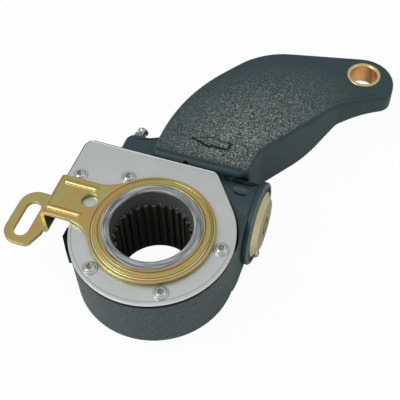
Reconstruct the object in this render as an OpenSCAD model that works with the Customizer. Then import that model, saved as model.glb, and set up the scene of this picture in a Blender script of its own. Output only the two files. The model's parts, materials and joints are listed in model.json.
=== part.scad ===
// Automatic brake slack adjuster: a cast lever housing with a worm drive for a splined camshaft,
// and a control arm that works a rack, a one-way clutch and so the worm. Millimetres.
// Origin: on the camshaft axis, in the outer face of the cover plate.
// +Z leaves through the cover, +X runs along the worm to the end plug, +Y points to the lever arm.

/* [Camshaft bore] */
// Diameter of the plain mouth of the bore
bore_d = 40; // [39.5:0.1:41]
// Depth of the plain mouth below the hub's end
mouth_depth = 9.4; // [7:0.2:11]
// Diameter over the roots of the cam splines
spline_d = 38.1; // [36.5:0.1:38.6]
// Radial height of the cam splines
spline_height = 1.4; // [1:0.1:1.8]
// Number of cam splines
spline_count = 28; // [20:1:32]
// Wall of the worm wheel's hub round the plain mouth
hub_wall = 2.4; // [2:0.1:2.6]
// Height of the hub's end above the cover
hub_proud = 4.4; // [4.2:0.1:6]
// Length that the hub stands out of the back of the housing
hub_back = 4; // [2:0.5:6]

/* [Worm drive] */
// Module of the worm wheel's teeth
tooth_module = 2; // [1.9:0.05:2.1]
// Number of teeth on the worm wheel
wheel_teeth = 25; // [24:1:26]
// Face width of the worm wheel's teeth
wheel_face = 18; // [14:0.5:18]
// Pitch diameter of the worm
worm_pitch_d = 17; // [16:0.5:18]
// Length of the worm's thread
worm_length = 36; // [30:1:36]
// Diameter of the worm's spindle
spindle_d = 8; // [7:0.1:8.4]
// Width across the flats of the adjusting hexagon
hex_flats = 12; // [10:0.5:13]
// Length of the adjusting hexagon outside the housing
hex_length = 6; // [4:0.5:9]

/* [Housing] */
// Diameter of the round body and of its cover plate
body_d = 80; // [79:0.5:84]
// Depth of the housing's back face below the outer face of the cover
body_depth = 38.5; // [37.5:0.5:42]
// Depth of the worm axis below the outer face of the cover
worm_drop = 20.5; // [20:0.1:21]
// Radius round the back edge of the body
body_edge = 5; // [2:0.5:6]
// Reach of the wing over the rack and clutch, from the camshaft axis
wing_reach = 52.4; // [51.5:0.1:56]
// Reach of the straight upper edge of the cover, from the camshaft axis
cover_top = 43; // [42:0.5:44]
// Reach of the end boss along the worm, from the camshaft axis
boss_reach = 43.7; // [42.5:0.1:47]
// Diameter of the end boss's rim
boss_d = 43; // [42:0.5:45]
// Diameter of the barrel behind that rim
barrel_d = 39; // [37:0.5:41]

/* [Lever arm] */
// Distance of the bush from the camshaft axis, across the arm
bush_x = 72.6; // [66:0.2:76]
// Distance of the bush from the camshaft axis, along the arm
bush_y = 130.5; // [124:0.5:136]
// Diameter of the clevis pin's hole in the bush
bush_bore = 14; // [10:0.5:15]
// Wall of the bush
bush_wall = 2; // [1.5:0.1:2.5]
// Height of the arm's flat face above the cover
arm_top = 2.5; // [1.5:0.1:3.2]
// Thickness of the arm at the bush
arm_thick = 11; // [10:0.5:14]
// Depth of the arm's underside near the body, below the outer face of the cover
arm_deep = 26.3; // [20:0.1:28]
// Radius along the arm's upper edges
arm_edge = 3; // [1.5:0.1:3.4]

/* [Cover] */
// Thickness of the cover plate
cover_thick = 1.6; // [1.4:0.1:2.4]
// Thickness of the gasket
gasket_thick = 0.5; // [0.3:0.1:0.8]
// Diameter of the cover screws' threads
screw_d = 5; // [4:0.2:5.4]
// Diameter of the cover screws' heads
screw_head_d = 7.4; // [7:0.1:8]
// Length of the cover screws under their heads
screw_length = 14; // [10:0.5:18]

/* [Control arm] */
// Thickness of the control arm's sheet
sheet = 2; // [1.6:0.1:2.5]
// Outer diameter of the control arm's ring
ring_d = 61; // [59:0.2:61]
// Wall of the control disc's collar
collar_wall = 2; // [1.6:0.1:2.2]
// Lower edge of the strip, from the camshaft axis
strip_low = -8.2; // [-11:0.2:-6]
// Upper edge of the strip, from the camshaft axis
strip_high = 16.2; // [13:0.1:16.2]
// Gap between the strip's bent end and the wing of the housing
strip_gap = 0.6; // [0.5:0.1:3]
// Height of the step down to the slotted loop
step_down = 16; // [10:0.5:18]
// Width of the loop's slot
slot_width = 7.8; // [6:0.2:9]
// Length of the loop's slot
slot_length = 21.5; // [16:0.5:22]
// Diameter of the round hole in the strip
strip_hole_d = 8.6; // [6:0.2:9.6]
// Swing of the control arm in use, in degrees
control_swing = 28; // [16:1:28]

/* [Rack and clutch] */
// Module of the rack and the clutch gear
rack_module = 1.25; // [1.2:0.01:1.28]
// Number of teeth on the clutch gear
gear_teeth = 14; // [13:1:14]
// Width of the rack
rack_width = 7; // [5.5:0.1:7.4]
// Height of the rack's bar above its teeth
rack_bar = 3.2; // [2.6:0.1:3.6]
// Diameter of the clutch's wrapped spigots
clutch_d = 13; // [12:0.2:13.4]
// Thickness of the clutch spring's wire
clutch_wire = 1.2; // [0.8:0.1:1.4]

/* [End plug] */
// Diameter of the end plug's head
plug_d = 34; // [33:0.2:35]
// Diameter of the end plug's shank
plug_shank_d = 30; // [29:0.2:31]
// Height of the plug's bevelled head above the boss
plug_proud = 2.6; // [1.5:0.1:3.5]
// Thickness of the coupling spring's wire
spring_wire = 2.6; // [2:0.1:3]

/* [Fits] */
// Radial clearance of a part that turns or slides in another
running = 0.05; // [0.02:0.01:0.1]
// Radial clearance of a part that is fixed in another
seating = 0.02; // [0.01:0.01:0.05]
// Gap between parts that pass each other
passing = 0.4; // [0.3:0.05:0.5]

/* [Hidden] */
$fn = 96;
hair = 0.01;
clear = 60;

// Colours
cast_paint = "#3c4b4e";
zinc = "#c3c7c4";
chromate = "#a8985a";
steel = "#8f9293";
dark_steel = "#4b4d4f";
bronze = "#b5793f";
rubber = "#1d1d1f";

// Camshaft bore and hub
bore_r = bore_d / 2;
hub_r = bore_r + hub_wall;
spline_start = hub_proud - mouth_depth;
hub_end = -body_depth - hub_back;
hub_chamfer = 0.5;
back_mouth = 4.5;
journal_r = hub_r + 1.5;

// Worm drive
wheel_pitch_r = tooth_module * wheel_teeth / 2;
wheel_tip_r = wheel_pitch_r + tooth_module;
wheel_root_r = wheel_pitch_r - 1.25 * tooth_module;
worm_pitch_r = worm_pitch_d / 2;
worm_tip_r = worm_pitch_r + tooth_module;
worm_root_r = worm_pitch_r - 1.25 * tooth_module;
worm_lead = PI * tooth_module;
lead_angle = atan(tooth_module / worm_pitch_d);
worm_y = wheel_pitch_r + worm_pitch_r;
worm_z = -worm_drop;
worm_bore_r = worm_tip_r + 0.7;
worm_end = worm_length / 2;
spindle_r = spindle_d / 2;
drive_pressure = 20;
drive_play = 0.42;

// Housing
body_r = body_d / 2;
seat_z = -cover_thick - gasket_thick;
chamber_r = wheel_tip_r + 1.4;
chamber_floor = worm_z - wheel_face / 2 - 1.5;
bush_r = bush_bore / 2 + bush_wall;
barrel_r = barrel_d / 2;
boss_r = boss_d / 2;
rim_length = 4.7;
wing_barrel_r = 15;
pocket_gap = 0.3;
wing_lift = 4;
cone_from = -24;
cone_to = 2;
rim_chamfer = 0.8;

// Relief hole behind the cover's upper edge
vent_x = 1;
vent_d = 3.4;
vent_low = -8;

// Recess between the arm's root and the boss, and a raised casting mark beside it
recess_r = 2.6;
recess_from = 24;
recess_to = 35;
recess_z = -3.4;
mark_r = 2;
mark_from = 29.5;
mark_to = 34.5;
mark_y = 38.2;
mark_z = worm_z + sqrt(pow(barrel_r, 2) - pow(mark_y - worm_y, 2)) - mark_r / 2;

// Small cast pad on the flank below the control arm
pad_proud = 2.2;
pad_low = -17;
pad_high = -7;

// Control disc
disc_r = chamber_r - 0.6;
disc_top = seat_z - passing;
disc_thick = 5.2;
disc_low = disc_top - disc_thick;
collar_in_r = hub_r + running;
collar_r = collar_in_r + collar_wall;
collar_top = hub_proud - 0.4;
cover_hole_r = collar_r + 1.6;

// Control arm
ring_r = ring_d / 2;
strip_reach = wing_reach + strip_gap + sheet;
sheet_low = 0.6;
sheet_top = sheet_low + sheet;
bend_r = 1.3;

// Rack and clutch
gear_pitch_r = rack_module * gear_teeth / 2;
gear_tip_r = gear_pitch_r + rack_module;
gear_root_r = gear_pitch_r - 1.25 * rack_module;
rack_pressure = 25;
rack_play = 0.15;
rack_pitch = PI * rack_module;
rack_line = worm_z + gear_pitch_r;
rack_tips = rack_line - rack_module;
rack_roots = rack_line + 1.25 * rack_module;
rack_top = rack_roots + rack_bar;
rack_x = -(disc_r + 0.2 + rack_width / 2);
tongue_r = 2;
tongue_x = -(disc_r - 1.3);
rack_travel = -tongue_x * control_swing * PI / 180;
tongue_y = rack_travel / 2;
tongue_low = disc_low - 1.9;
tongue_high = disc_top - 0.8;
rack_low = tongue_y - tongue_r;
rack_high = worm_y + rack_travel + 1.2 * rack_pitch;
tunnel_low = rack_low - rack_travel - 1;
tunnel_high = rack_high + 1;
gear_left = rack_x - rack_width / 2 - 0.5;
gear_right = rack_x + rack_width / 2 + 0.5;
clutch_r = clutch_d / 2;
hub_flange = 2.4;
hub_left = -worm_end - hub_flange;
clutch_gap = 0.3;
clutch_split = (gear_right + hub_left) / 2;
chamber_left = gear_left - 0.5;

// Worm ends
worm_bush_r = 7;
shaft_seal_r = 7.5;
seal_end_x = -wing_reach + 5.4;
seat_x = worm_end + 2.1;
seat_flange = 2.5;
seat_sleeve = 5;
seat_wall = 2.8;
spring_chamber_r = worm_bore_r + 2.3;
plug_head_x = boss_reach - 4.5;
plug_shank = 4.9;
plug_inner_x = plug_head_x - plug_shank;
plug_r = plug_d / 2;
plug_shank_r = plug_shank_d / 2;
plug_face_r = plug_r - 3.8;
plug_gap = 0.35;
seal_wire = 1.6;
plug_groove_x = plug_inner_x + plug_shank / 2;

// Place of the plug's lock screw on the boss's rim
lock_r = 1.2;
lock_length = 6;
lock_circle_r = (plug_r + plug_gap + boss_r) / 2;
lock_angle = -17;
lock_spot = [lock_circle_r * cos(lock_angle), lock_circle_r * sin(lock_angle), boss_reach - lock_length];

// Seal at the back of the hub
rear_seal_r = journal_r + seal_wire;
rear_seal_z = -body_depth + 2;

// Cover outline: the round body with a wing on the rack's side and a straight upper edge.
wing_foot = 12.5;
shoulder_angle = 36.7;
shoulder = body_r * [cos(shoulder_angle), sin(shoulder_angle)];
shoulder_top = shoulder[0] - (cover_top - shoulder[1]) * tan(shoulder_angle);
cover_keys = [[-wing_reach, wing_foot, 8], [-body_r + 1, 3, 3], [0, 0, 1], [shoulder[0], shoulder[1], 1],
    [shoulder_top, cover_top, 5], [-wing_reach, cover_top, 3.5]];
screw_circle_r = ring_r + screw_head_d / 2 + passing;
screw_spots = concat(
    [for (a = [-124, -62, 0]) screw_circle_r * [cos(a), sin(a)]],
    [screw_circle_r * [cos(131), sin(131)], [6 - wing_reach, 20.2]]);

// Arm outline and the outline cut away below it, as corners with their radii, counter-clockwise.
arm_foot = cover_top + 0.6;
arm_left = -18.3;
arrow_proud = 0.7;
arm_right = 32.8;
arm_keys = [[arm_left, arm_foot, 4], [arm_right, arm_foot, 6.5], [arm_right + 2.2, arm_foot + 18.2, 8],
    [bush_x - 7.6, bush_y - 25.2, 7], [bush_x + 17, bush_y - 10.9, 8], [bush_x + 16.8, bush_y + 17.9, 17.3],
    [bush_x - 58.2, bush_y + 2.4, 40], [arm_left + 1.2, arm_foot + 44.2, 94]];
arm_low = arm_top - arm_thick;
underside_keys = [[-clear, -clear, 1], [bush_y + clear, -clear, 1], [bush_y + clear, arm_low, 1],
    [bush_y - 18.5, arm_low, 12], [bush_y - 42.5, -arm_deep, 25], [-clear, -arm_deep, 1]];
bush_lip = 0.5;
bush_chamfer = 0.5;

// Block over the end of the rack, which carries the grease nipple.
block_left = rack_x - rack_width / 2 - 1.5;
block_end = tunnel_high + 6;
block_keys = [[block_left, worm_y, 3], [0, worm_y, 3], [0, block_end + 4, 3], [-16, block_end + 4, 4],
    [-25, block_end, 4], [block_left, block_end, 5]];
block_top = -4;
block_low = -26;
nipple_shank_r = 3;
nipple_z = (rack_tips + rack_top) / 2;

// Geometry helpers
function unit(v) = v / norm(v);
function cross_z(a, b) = a[0] * b[1] - a[1] * b[0];

// Arc in a corner of an outline, grown outwards by the given width.
function corner_arc(before, here, after, r, grow, steps) =
    let (into = unit(here - before),
         out = unit(after - here),
         turn = atan2(cross_z(into, out), into * out),
         side = turn > 0 ? 1 : -1,
         inward = side * [-into[1], into[0]],
         centre = here - r * tan(abs(turn) / 2) * into + r * inward,
         first = atan2(-inward[1], -inward[0]))
    [for (k = [0:steps]) let (a = first + turn * k / steps) centre + (r + side * grow) * [cos(a), sin(a)]];

// Outline with round corners, from keys of x, y and radius.
function rounded(keys, grow = 0, steps = 8) =
    let (n = len(keys), at = [for (k = keys) [k[0], k[1]]])
    [for (i = [0:n - 1])
        each corner_arc(at[(i + n - 1) % n], at[i], at[(i + 1) % n], keys[i][2], grow,
            keys[i][2] > 40 ? 3 * steps : steps)];

// Solid skin over rings of points that run counter-clockwise seen from the last ring.
module skin(rings) {
    n = len(rings[0]);
    last = len(rings) - 1;
    sides = [for (j = [0:last - 1]) for (i = [0:n - 1])
        [j * n + i, (j + 1) * n + i, (j + 1) * n + (i + 1) % n, j * n + (i + 1) % n]];
    polyhedron([for (ring = rings) each ring],
        concat([[for (i = [0:n - 1]) i]], sides, [[for (i = [n - 1:-1:0]) last * n + i]]), convexity = 8);
}

// Cast slab with a round upper edge.
module cast_slab(keys, low, high, edge) {
    bend = [for (k = [0:5]) k * 18];
    levels = concat([[0, low]], [for (a = bend) [-edge * (1 - cos(a)), high - edge * (1 - sin(a))]]);
    skin([for (level = levels) [for (p = rounded(keys, level[0])) [p[0], p[1], level[1]]]]);
}

// Wire coil along X, right-handed.
module coil(mean_r, wire, from, to, turns, around, sides) {
    steps = ceil(turns * around);
    skin([for (s = [0:steps])
        let (a = 360 * turns * s / steps, x = from + wire / 2 + (to - from - wire) * s / steps)
        [for (k = [0:sides - 1])
            let (b = 360 * k / sides, r = mean_r + wire / 2 * sin(b))
            [x + wire / 2 * cos(b), r * cos(a), r * sin(a)]]]);
}

// Turns a solid from Z to the worm's axis, where Z becomes X.
module on_worm() {
    translate([0, worm_y, worm_z]) rotate([0, 90, 0]) children();
}

// Round bar on the worm's axis.
module worm_bar(r, from, to) {
    on_worm() translate([0, 0, from]) cylinder(r = r, h = to - from);
}

// Sleeve on the worm's axis.
module worm_sleeve(in_r, out_r, from, to) {
    difference() {
        worm_bar(out_r, from, to);
        worm_bar(in_r, from - 1, to + 1);
    }
}

// Ring round the camshaft axis.
module cam_ring(in_r, out_r, low, high) {
    translate([0, 0, low]) difference() {
        cylinder(r = out_r, h = high - low);
        translate([0, 0, -1]) cylinder(r = in_r, h = high - low + 2);
    }
}

// Half the angle of an involute tooth at a radius.
function involute(a) = tan(a) - a * PI / 180;
function tooth_half(r, pitch_r, base_r, teeth, play, pressure) =
    let (flank = acos(min(1, base_r / r)))
    90 / teeth - play / pitch_r * 180 / PI + (involute(pressure) - involute(flank)) * 180 / PI;

// Outline of one tooth that points along +Y.
module tooth_2d(pitch_r, low_r, tip_r, teeth, play, pressure) {
    base_r = pitch_r * cos(pressure);
    flank_low = max(base_r, low_r);
    radii = concat([low_r - 0.6], [for (k = [0:4]) flank_low + (tip_r - flank_low) * k / 4]);
    halves = [for (r = radii) tooth_half(max(r, flank_low), pitch_r, base_r, teeth, play, pressure)];
    left = [for (i = [0:5]) radii[i] * [-sin(halves[i]), cos(halves[i])]];
    right = [for (i = [5:-1:0]) radii[i] * [sin(halves[i]), cos(halves[i])]];
    polygon(concat(left, right));
}

// Outlines of the cover and of the control arm
module cover_2d(grow = 0) {
    circle(r = body_r + grow);
    polygon(rounded(cover_keys, grow));
}

// Fillet between the strip's edge and the ring. Side is 1 above and -1 below the strip.
module strip_fillet(edge, side, r) {
    y = edge + side * r;
    x = -sqrt(pow(ring_r + r, 2) - y * y);
    difference() {
        polygon([[x, edge], [x, y], ring_r / (ring_r + r) * [x, y], [-ring_r / 2, edge / 2]]);
        translate([x, y]) circle(r = r);
    }
}

// Direction arrow that points along -X
module arrow_2d() {
    tip = [-1, arm_foot + 15.1];
    head = [11, 3.4];
    tail = [20.2, 2.3];
    polygon([for (p = [[0, 0], [head[0], -head[1]], [head[0] - 0.8, -tail[1]], [tail[0], -tail[1]],
        [tail[0], tail[1]], [head[0] - 0.8, tail[1]], [head[0], head[1]]]) tip + p]);
}

// Housing: outer casting
module round_body() {
    rotate_extrude() difference() {
        translate([0, -body_depth]) square([body_r, body_depth + seat_z]);
        translate([body_r - body_edge, -body_depth]) difference() {
            square(body_edge);
            translate([0, body_edge]) circle(r = body_edge);
        }
    }
}

module wing() {
    translate([0, 0, wing_lift - body_depth]) linear_extrude(body_depth - wing_lift + seat_z)
        polygon(rounded(cover_keys));
}

// Barrel round the worm, widening to the rimmed boss that takes the end plug
module barrel() {
    rim_x = boss_reach - rim_length;
    on_worm() rotate_extrude() polygon([[0, -wing_reach], [wing_barrel_r, -wing_reach],
        [wing_barrel_r, cone_from], [barrel_r, cone_to], [barrel_r, rim_x],
        [boss_r, rim_x + boss_r - barrel_r], [boss_r, boss_reach - rim_chamfer],
        [boss_r - rim_chamfer, boss_reach], [0, boss_reach]]);
}

module lever_arm() {
    difference() {
        cast_slab(arm_keys, -body_depth + 6, arm_top, arm_edge);
        translate([-clear, 0, 0]) rotate([90, 0, 90]) linear_extrude(bush_x + 2 * clear)
            polygon(rounded(underside_keys));
    }
    translate([0, 0, arm_top - hair]) linear_extrude(arrow_proud) arrow_2d();
}

module flank_pad() {
    face = -body_r - pad_proud;
    translate([0, 0, pad_low]) linear_extrude(pad_high - pad_low)
        polygon([[4 - body_r, -5], [face, -7], [face, -12.5], [3.2 - body_r, -20], [8 - body_r, -19]]);
}

// Bar with round ends along X, sunk in the barrel's top or cut from it
module round_bar(r, from, to, y, z) {
    translate([from, y, z]) {
        rotate([0, 90, 0]) cylinder(r = r, h = to - from);
        for (x = [0, to - from]) translate([x, 0, 0]) sphere(r = r);
    }
}

module casting() {
    round_body();
    wing();
    barrel();
    lever_arm();
    flank_pad();
    round_bar(mark_r, mark_from, mark_to, mark_y, mark_z);
    cast_slab(block_keys, block_low, block_top, 2.5);
}

// Housing: machined spaces
module worm_spaces() {
    worm_bar(worm_bore_r, chamber_left, seat_x);
    worm_bar(spring_chamber_r, seat_x - hair, plug_inner_x + 1);
    worm_bar(plug_shank_r + seating, plug_inner_x - 0.5, plug_head_x + 1);
    worm_bar(plug_r + plug_gap, plug_head_x, boss_reach + 5);
    worm_bar(worm_bush_r + seating, seal_end_x, chamber_left + 1);
    worm_bar(shaft_seal_r + seating, -wing_reach - 5, seal_end_x + hair);
}

module rack_tunnel() {
    translate([rack_x - rack_width / 2 - running, tunnel_low, rack_tips - passing])
        cube([rack_width + 2 * running, tunnel_high - tunnel_low, rack_top + running - rack_tips + passing]);
    translate([tongue_x - tongue_r - passing, tunnel_low, tongue_low - passing])
        cube([2 * tongue_r + passing, rack_travel + 2 * tongue_r + 2, clear]);
    translate([rack_x, tunnel_high - 1, nipple_z]) rotate([-90, 0, 0])
        cylinder(r = nipple_shank_r + seating, h = clear);
}

module housing() {
    color(cast_paint) difference() {
        casting();
        translate([0, 0, seat_z]) linear_extrude(clear) cover_2d(pocket_gap);
        translate([0, 0, chamber_floor]) cylinder(r = chamber_r, h = clear);
        translate([0, 0, -body_depth - 1]) cylinder(r = journal_r + running, h = body_depth);
        translate([0, 0, rear_seal_z]) cylinder(r = rear_seal_r + seating, h = seal_wire + 2 * seating);
        worm_spaces();
        rack_tunnel();
        for (p = screw_spots) translate([p[0], p[1], -screw_length - 1])
            cylinder(d = screw_d + 2 * seating, h = screw_length);
        translate([bush_x, bush_y, arm_low - 1]) cylinder(r = bush_r + seating, h = arm_thick + 2);
        on_worm() translate(lock_spot) cylinder(r = lock_r + seating, h = lock_length + 1);
        translate([vent_x, cover_top + pocket_gap, vent_low]) cylinder(d = vent_d, h = -vent_low);
        round_bar(recess_r, recess_from, recess_to, arm_foot + 0.7, recess_z);
    }
}

module cover_plate() {
    color(zinc) translate([0, 0, -cover_thick]) linear_extrude(cover_thick) difference() {
        cover_2d();
        circle(r = cover_hole_r + seating);
        for (p = screw_spots) translate(p) circle(d = screw_d + 0.5);
    }
}

module cover_gasket() {
    color(rubber) translate([0, 0, seat_z]) linear_extrude(gasket_thick) difference() {
        cover_2d();
        circle(r = chamber_r);
        for (p = screw_spots) translate(p) circle(d = screw_d + 0.5);
    }
}

// Six-lobed drive of a cover screw
module lobe_drive_2d() {
    circle(r = 1.35);
    for (k = [0:5]) rotate(60 * k) translate([1.35, 0]) circle(r = 0.42);
}

module cover_screws() {
    head_r = screw_head_d / 2;
    head_h = 1.9;
    color(zinc) for (p = screw_spots) translate(p) {
        difference() {
            union() {
                rotate_extrude() polygon([[0, 0], [head_r, 0], [head_r, 0.6], [head_r - 0.3, 0.9],
                    [head_r - 0.8, 0.95], [head_r - 1, 1.4], [head_r - 1.5, head_h - 0.1],
                    [head_r - 2, head_h], [0, head_h]]);
                translate([0, 0, -screw_length + 0.5]) cylinder(d = screw_d, h = screw_length);
            }
            translate([0, 0, head_h - 1.3]) linear_extrude(3) lobe_drive_2d();
        }
    }
}

module arm_bush() {
    in_r = bush_bore / 2;
    low = arm_low - bush_lip;
    high = arm_top + bush_lip;
    bevel = bush_chamfer;
    color(bronze) translate([bush_x, bush_y, 0]) rotate_extrude() polygon([[in_r, low + bevel],
        [in_r + bevel, low], [bush_r - bevel / 2, low], [bush_r, low + bevel / 2],
        [bush_r, high - bevel / 2], [bush_r - bevel / 2, high], [in_r + bevel, high],
        [in_r, high - bevel]]);
}

module grease_nipple() {
    hex_r = 4.1;
    color(zinc) translate([rack_x, block_end, nipple_z]) rotate([-90, 0, 0]) {
        translate([0, 0, -5]) cylinder(r = nipple_shank_r, h = 5.5);
        cylinder(r = hex_r, h = 2.6, $fn = 6);
        rotate_extrude() polygon([[0, 2], [3.2, 2.5], [2.2, 4], [2.2, 5], [3.1, 6], [3.1, 6.8], [1.6, 8.2],
            [0, 8.2]]);
    }
}

module end_plug() {
    slot = [1.2, 5.6, 1.2];
    color(chromate) difference() {
        union() {
            worm_bar(plug_shank_r, plug_inner_x, plug_head_x + 1);
            on_worm() translate([0, 0, plug_head_x]) rotate_extrude() polygon([[0, 0], [plug_r, 0],
                [plug_r, boss_reach - plug_head_x], [plug_face_r, boss_reach - plug_head_x + plug_proud],
                [plug_face_r / 2, boss_reach - plug_head_x + plug_proud + 0.35],
                [0, boss_reach - plug_head_x + plug_proud + 0.45]]);
        }
        on_worm() translate([0, 0, plug_groove_x - seal_wire / 2 - seating])
            cam_ring(plug_shank_r - seal_wire, plug_shank_r + 1, 0, seal_wire + 2 * seating);
        on_worm() rotate(45) translate([-slot[0] / 2, -slot[1] / 2, boss_reach + plug_proud - slot[2] + 0.4])
            cube(slot);
    }
}

module plug_seal() {
    color(rubber) worm_sleeve(plug_shank_r - seal_wire + seating, plug_shank_r, plug_groove_x - seal_wire / 2,
        plug_groove_x + seal_wire / 2);
}

module plug_lock_screw() {
    head_r = (boss_r - plug_r) / 2 - 0.1;
    color(zinc) on_worm() translate(lock_spot) {
        cylinder(r = lock_r, h = lock_length + 0.5);
        translate([0, 0, lock_length]) difference() {
            rotate_extrude() polygon([[0, 0], [head_r, 0], [head_r, 0.6], [head_r - 0.5, 1.5],
                [head_r - 1.1, 1.9], [0, 2]]);
            translate([-head_r, -0.3, 1.2]) cube([2 * head_r, 0.6, 2]);
        }
    }
}

module coupling_spring() {
    room = plug_inner_x - seat_x - seat_flange;
    mean_r = spring_chamber_r - 0.8 - spring_wire / 2;
    color(steel) translate([seat_x + seat_flange, worm_y, worm_z])
        coil(mean_r, spring_wire, 0, room, room / spring_wire * 0.66, 22, 8);
}

module spring_seat() {
    color(steel) union() {
        worm_sleeve(spindle_r + running, spring_chamber_r - 0.2, seat_x, seat_x + seat_flange);
        worm_sleeve(spindle_r + running, spindle_r + seat_wall, seat_x, seat_x + seat_flange + seat_sleeve);
    }
}

module thrust_washer() {
    color(bronze) worm_sleeve(spindle_r + running, worm_bore_r - 0.1, worm_end + 0.1, seat_x);
}

module worm_bush() {
    color(bronze) worm_sleeve(spindle_r + running, worm_bush_r, seal_end_x, chamber_left);
}

module shaft_seal() {
    color(rubber) worm_sleeve(spindle_r + running, shaft_seal_r, -wing_reach, seal_end_x);
}

module front_seal() {
    color(rubber) cam_ring(collar_r + running, cover_hole_r, -cover_thick, -0.3);
}

module rear_seal() {
    color(rubber) cam_ring(journal_r + running, rear_seal_r, rear_seal_z + seating,
        rear_seal_z + seating + seal_wire);
}

module wheel_teeth_ring() {
    intersection() {
        cam_ring(wheel_root_r - 0.3, wheel_tip_r, worm_z - wheel_face / 2, worm_z + wheel_face / 2);
        for (k = [0:wheel_teeth - 1]) translate([0, 0, worm_z]) rotate((k + 0.5) * 360 / wheel_teeth)
            rotate([0, -lead_angle, 0]) linear_extrude(wheel_face + 8, center = true)
                tooth_2d(wheel_pitch_r, wheel_root_r, wheel_tip_r + 0.5, wheel_teeth, drive_play,
                    drive_pressure);
    }
}

// Cam splines: the plain minor circle with a tapered groove for each spline
module spline_2d() {
    major_r = spline_d / 2;
    minor_r = major_r - spline_height;
    pitch = 2 * PI * minor_r / spline_count;
    circle(r = minor_r);
    for (k = [0:spline_count - 1]) rotate(k * 360 / spline_count) polygon([[minor_r - 1, -0.3 * pitch],
        [major_r, -0.2 * pitch], [major_r, 0.2 * pitch], [minor_r - 1, 0.3 * pitch]]);
}

module worm_wheel() {
    lower_top = worm_z - wheel_face / 2;
    color(steel) difference() {
        union() {
            translate([0, 0, hub_end]) cylinder(r = journal_r, h = lower_top - hub_end);
            translate([0, 0, lower_top - 1]) cylinder(r = wheel_root_r, h = wheel_face + 1);
            translate([0, 0, worm_z]) cylinder(r = hub_r, h = hub_proud - hub_chamfer - worm_z);
            translate([0, 0, hub_proud - hub_chamfer])
                cylinder(r1 = hub_r, r2 = hub_r - hub_chamfer, h = hub_chamfer);
            wheel_teeth_ring();
        }
        translate([0, 0, hub_end - 1]) linear_extrude(hub_proud - hub_end + 2) spline_2d();
        translate([0, 0, spline_start]) cylinder(r = bore_r, h = mouth_depth + 1);
        translate([0, 0, hub_proud - hub_chamfer])
            cylinder(r1 = bore_r, r2 = bore_r + 2 * hub_chamfer, h = 2 * hub_chamfer);
        translate([0, 0, hub_end - 1]) cylinder(r = bore_r, h = back_mouth + 1);
    }
}

// Worm thread: a tapered rib wound on the core
module worm_thread() {
    around = 24;
    sink = 0.5;
    taper = tan(drive_pressure);
    root_half = worm_lead / 4 - drive_play / 2 + (worm_pitch_r - worm_root_r) * taper;
    tip_half = worm_lead / 4 - drive_play / 2 - tooth_module * taper;
    run = worm_length - 2 * root_half - 2 * sink * taper;
    turns = run / worm_lead;
    steps = ceil(turns * around);
    first = -run / 2;
    translate([0, worm_y, worm_z]) skin([for (s = [0:steps])
        let (x = first + run * s / steps,
             a = 180 + 360 * x / worm_lead,
             low = worm_root_r - sink,
             high = worm_tip_r,
             wide = root_half + sink * taper)
        [[x - wide, low * cos(a), low * sin(a)], [x + wide, low * cos(a), low * sin(a)],
            [x + tip_half, high * cos(a), high * sin(a)], [x - tip_half, high * cos(a), high * sin(a)]]]);
}

module worm_shaft() {
    hex_r = hex_flats / 2 / cos(30);
    color(dark_steel) union() {
        worm_bar(worm_root_r, -worm_end, worm_end);
        worm_thread();
        worm_bar(spindle_r, -wing_reach - hex_length, seat_x + seat_flange + 4);
        on_worm() translate([0, 0, -wing_reach - passing - hex_length]) rotate(30)
            cylinder(r = hex_r, h = hex_length, $fn = 6);
    }
}

module clutch_hub() {
    color(steel) union() {
        worm_sleeve(spindle_r + seating, clutch_r, clutch_split + clutch_gap / 2, hub_left);
        worm_sleeve(spindle_r + seating, worm_root_r + 3, hub_left, -worm_end - 0.1);
    }
}

module clutch_spring() {
    room = hub_left - gear_right - 0.4;
    color(steel) translate([gear_right + 0.2, worm_y, worm_z])
        coil(clutch_r + running + clutch_wire / 2, clutch_wire, 0, room, room / clutch_wire * 0.75, 16, 6);
}

module clutch_gear() {
    color(bronze) difference() {
        union() {
            on_worm() translate([0, 0, gear_left]) linear_extrude(gear_right - gear_left) union() {
                circle(r = gear_root_r);
                for (k = [0:gear_teeth - 1]) rotate(90 + k * 360 / gear_teeth)
                    tooth_2d(gear_pitch_r, gear_root_r, gear_tip_r, gear_teeth, rack_play, rack_pressure);
            }
            worm_bar(clutch_r, gear_right - 1, clutch_split - clutch_gap / 2);
        }
        worm_bar(spindle_r + running, gear_left - 1, gear_right + 10);
    }
}

module rack() {
    taper = tan(rack_pressure);
    gap_half = rack_pitch / 4 + rack_play;
    gap_top = gap_half - (rack_roots - rack_line) * taper;
    gap_low = gap_half + (rack_line - rack_tips + 1) * taper;
    left = rack_x - rack_width / 2;
    color(dark_steel) union() {
        difference() {
            translate([left, rack_low, rack_tips])
                cube([rack_width, rack_high - rack_low, rack_top - rack_tips]);
            for (k = [-1:ceil(rack_travel / rack_pitch) + 1])
                translate([left - 1, worm_y + k * rack_pitch, 0]) rotate([90, 0, 90])
                    linear_extrude(rack_width + 2) polygon([[-gap_low, rack_tips - 1],
                        [gap_low, rack_tips - 1], [gap_top, rack_roots], [-gap_top, rack_roots]]);
        }
        translate([tongue_x, tongue_y, tongue_low]) cylinder(r = tongue_r, h = tongue_high - tongue_low);
        translate([left + 1, tongue_y - tongue_r, tongue_low])
            cube([tongue_x - left - 1, 2 * tongue_r, rack_top - tongue_low]);
    }
}

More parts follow.
